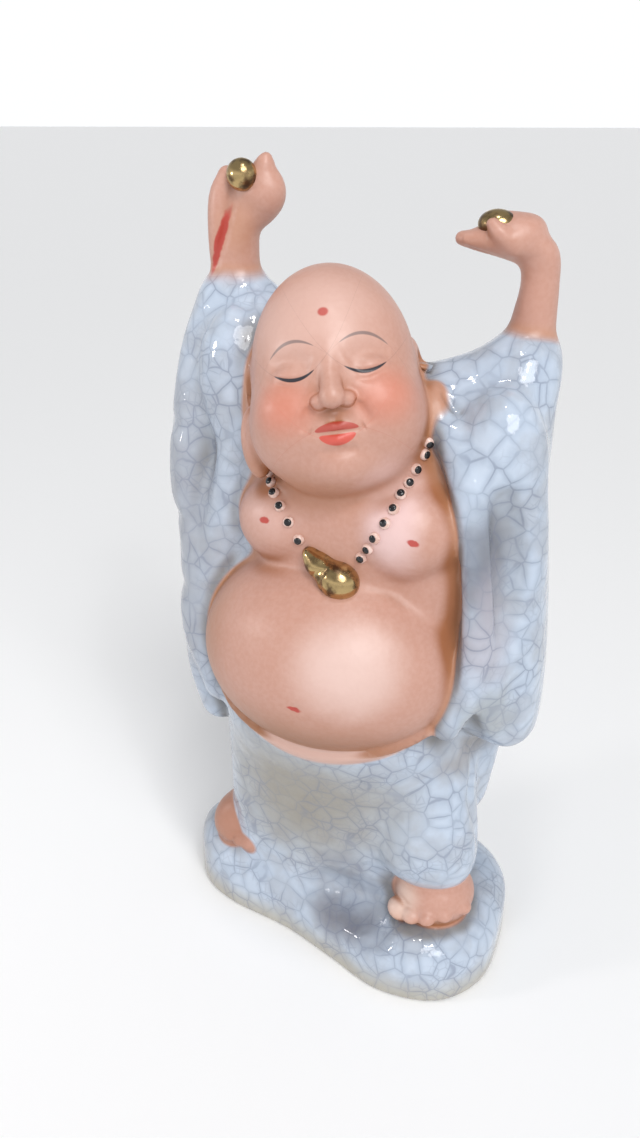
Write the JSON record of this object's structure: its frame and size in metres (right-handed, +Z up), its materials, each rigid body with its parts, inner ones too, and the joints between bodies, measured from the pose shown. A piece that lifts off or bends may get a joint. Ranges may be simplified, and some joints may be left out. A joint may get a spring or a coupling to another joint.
{
  "type": "standing buddha figurine",
  "caption": "Porcelain figurine of a pot-bellied buddha standing on a mound with both arms raised, holding gold balls, in a crackle-glazed open robe.",
  "frame": {"origin": "on the flat underside of the mound, below the middle of the figure", "axes": "+Z up through the head, -Y the way the figure faces, +X towards the figure's own left hand"},
  "size_m": [0.0817, 0.0563, 0.1676],
  "materials": {
    "crackle_glaze": "pale blue-grey glossy glaze with a fine network of darker crackle lines",
    "flesh_enamel": "satin peach-coloured enamel on the bare skin, shaded orange-brown in the hollows",
    "gold_lustre": "burnished gold lustre on the hand balls and the pendant"
  },
  "bodies": {
    "root": {"buddha_figure": "crackle_glaze"}
  },
  "joints": []
}
